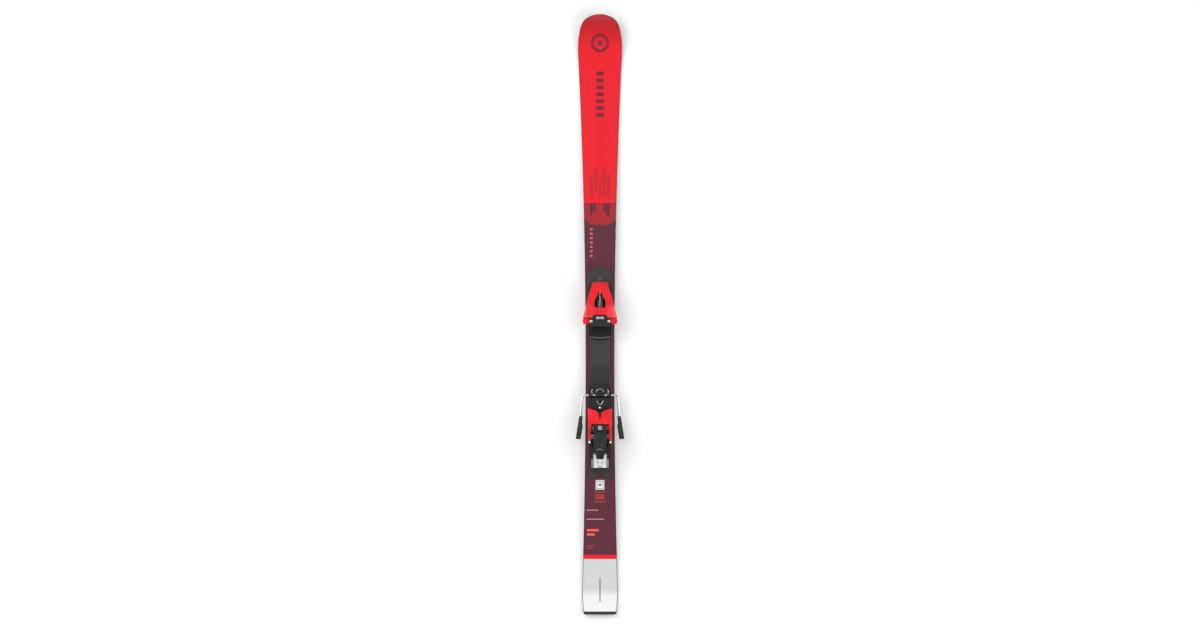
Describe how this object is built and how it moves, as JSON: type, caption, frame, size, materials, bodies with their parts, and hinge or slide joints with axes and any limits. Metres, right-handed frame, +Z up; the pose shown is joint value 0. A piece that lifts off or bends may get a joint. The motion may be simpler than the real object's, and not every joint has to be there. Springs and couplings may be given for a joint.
{
  "type": "alpine ski with binding",
  "caption": "Alpine ski with camber, sidecut and an upturned tip, carrying a step-in release binding with a gliding sole plate, a length-adjustable heel and a ski brake.",
  "frame": {"origin": "centre line at half the ski's length, on the plane the ski rests on", "axes": "+Y toward the tip, +X to the skier's right, +Z up"},
  "size_m": [0.1116, 1.38, 0.0978],
  "materials": {
    "running_base": "sintered, lightly structured",
    "edge_steel": "ground",
    "glass_laminate": "glass fibre in resin",
    "core_wood": "laminated strips",
    "sidewall_plastic": "satin",
    "metal_laminate": "satin",
    "topsheet_film": "gloss film over print, red to burgundy to white",
    "protector_plastic": "satin",
    "plate_plastic": "fine grain",
    "screw_steel": "blackened",
    "black_plastic": "fine grain",
    "red_plastic": "glossy",
    "clear_lens": "polished",
    "chrome_pins": "polished",
    "spring_steel": "drawn wire",
    "track_plastic": "fine grain",
    "bright_steel": "bright zinc",
    "pointer_plastic": "satin",
    "glide_plastic": "slick",
    "bracket_steel": "zinc plated",
    "tab_metal": "satin",
    "tip_plastic": "fine grain",
    "lever_plastic": "semi-gloss"
  },
  "bodies": {
    "ski": {"base_sheet": "running_base", "steel_edge_left": "edge_steel", "steel_edge_right": "edge_steel", "lower_laminate": "glass_laminate", "wood_core": "core_wood", "sidewall_left": "sidewall_plastic", "sidewall_right": "sidewall_plastic", "upper_laminate": "metal_laminate", "topsheet": "topsheet_film", "tail_protector": "protector_plastic", "interface_plate": "plate_plastic", "plate_screws": "screw_steel", "toe_base": "black_plastic", "toe_screws": "screw_steel", "toe_housing": "red_plastic", "toe_bridge": "black_plastic", "toe_window_lens": "clear_lens", "wing_pins": "chrome_pins", "toe_spring": "spring_steel", "afd_base": "black_plastic", "heel_track": "track_plastic", "track_screws": "screw_steel"},
    "toe_wing_right": {"toe_wing_right": "red_plastic"},
    "toe_wing_left": {"toe_wing_left": "red_plastic"},
    "toe_pull_rod": {"toe_rod": "bright_steel"},
    "toe_adjuster": {"toe_adjuster_screw": "screw_steel"},
    "toe_pointer": {"toe_indicator": "pointer_plastic"},
    "sole_glide": {"afd_slider": "glide_plastic"},
    "heel_carriage": {"heel_carriage": "black_plastic", "carriage_screws": "chrome_pins", "heel_bracket": "bracket_steel", "lock_plate": "bracket_steel", "heel_axle": "bright_steel", "brake_base": "black_plastic", "brake_screw": "chrome_pins", "brake_springs": "spring_steel"},
    "length_lock": {"heel_lock_tab": "tab_metal"},
    "brake": {"brake_pedal": "black_plastic", "brake_wire_left": "bright_steel", "brake_wire_right": "bright_steel", "brake_tip_left": "tip_plastic", "brake_tip_right": "tip_plastic"},
    "heel_head": {"heel_cup": "red_plastic", "heel_housing": "black_plastic", "heel_spring": "spring_steel", "heel_window_lens": "clear_lens", "lever_pin": "bright_steel"},
    "heel_lever": {"heel_lever": "lever_plastic"},
    "heel_plunger": {"heel_plunger": "bright_steel"},
    "heel_adjuster": {"heel_adjuster_screw": "screw_steel"},
    "heel_pointer": {"heel_indicator": "pointer_plastic"}
  },
  "joints": [
    {"name": "toe_wing_right_turn", "type": "hinge", "parent": "ski", "child": "toe_wing_right", "pos_m": [0.0198, -0.014, 0.044], "axis": [0, 0, 1], "range_deg": [0, 25], "stiffness_Nm_per_rad": 0.5, "springref_deg": -22.92},
    {"name": "toe_wing_left_turn", "type": "hinge", "parent": "ski", "child": "toe_wing_left", "pos_m": [-0.0198, -0.014, 0.044], "axis": [0, 0, -1], "range_deg": [0, 25], "stiffness_Nm_per_rad": 0.5, "springref_deg": -22.92},
    {"name": "toe_rod_pull", "type": "slide", "parent": "ski", "child": "toe_pull_rod", "axis": [0, -1, 0], "range_m": [0, 0.005], "deforming": ["toe_spring"]},
    {"name": "toe_adjuster_turn", "type": "hinge", "parent": "ski", "child": "toe_adjuster", "pos_m": [0, 0.0725, 0.041], "axis": [0, 1, 0], "range_deg": [-720, 720]},
    {"name": "toe_pointer_travel", "type": "slide", "parent": "ski", "child": "toe_pointer", "axis": [1, 0, 0], "range_m": [-0.006, 0.006]},
    {"name": "sole_glide_travel", "type": "slide", "parent": "ski", "child": "sole_glide", "axis": [1, 0, 0], "range_m": [-0.008, 0.008], "stiffness_N_per_m": 200},
    {"name": "heel_length_travel", "type": "slide", "parent": "ski", "child": "heel_carriage", "axis": [0, 1, 0], "range_m": [-0.01, 0.04]},
    {"name": "length_lock_lift", "type": "hinge", "parent": "heel_carriage", "child": "length_lock", "pos_m": [0, -0.3215, 0.0373], "axis": [-1, 0, 0], "range_deg": [0, 20], "stiffness_Nm_per_rad": 0.05, "springref_deg": -11.46},
    {"name": "brake_deploy", "type": "hinge", "parent": "heel_carriage", "child": "brake", "pos_m": [0, -0.184, 0.0355], "axis": [1, 0, 0], "range_deg": [0, 50]},
    {"name": "heel_open", "type": "hinge", "parent": "heel_carriage", "child": "heel_head", "pos_m": [0, -0.281, 0.05], "axis": [1, 0, 0], "range_deg": [0, 38]},
    {"name": "heel_lever_press", "type": "hinge", "parent": "heel_head", "child": "heel_lever", "pos_m": [0, -0.275, 0.085], "axis": [1, 0, 0], "range_deg": [0, 25]},
    {"name": "heel_plunger_push", "type": "slide", "parent": "heel_head", "child": "heel_plunger", "axis": [0, -1, 0], "range_m": [0, 0.003], "deforming": ["heel_spring"]},
    {"name": "heel_adjuster_turn", "type": "hinge", "parent": "heel_head", "child": "heel_adjuster", "pos_m": [0, -0.307, 0.064], "axis": [0, 1, 0], "range_deg": [-720, 720]},
    {"name": "heel_pointer_travel", "type": "slide", "parent": "heel_head", "child": "heel_pointer", "axis": [0, 1, 0], "range_m": [-0.003, 0.003]}
  ],
  "couplings": [
    {"joint": "toe_rod_pull", "follows": "toe_wing_left_turn", "m_per_rad": 0.0114},
    {"joint": "toe_pointer_travel", "follows": "toe_adjuster_turn", "m_per_rad": 0.00047},
    {"joint": "heel_lever_press", "follows": "heel_open", "ratio": 0.65},
    {"joint": "heel_plunger_push", "follows": "heel_open", "m_per_rad": 0.0045},
    {"joint": "heel_pointer_travel", "follows": "heel_adjuster_turn", "m_per_rad": 0.00023}
  ]
}
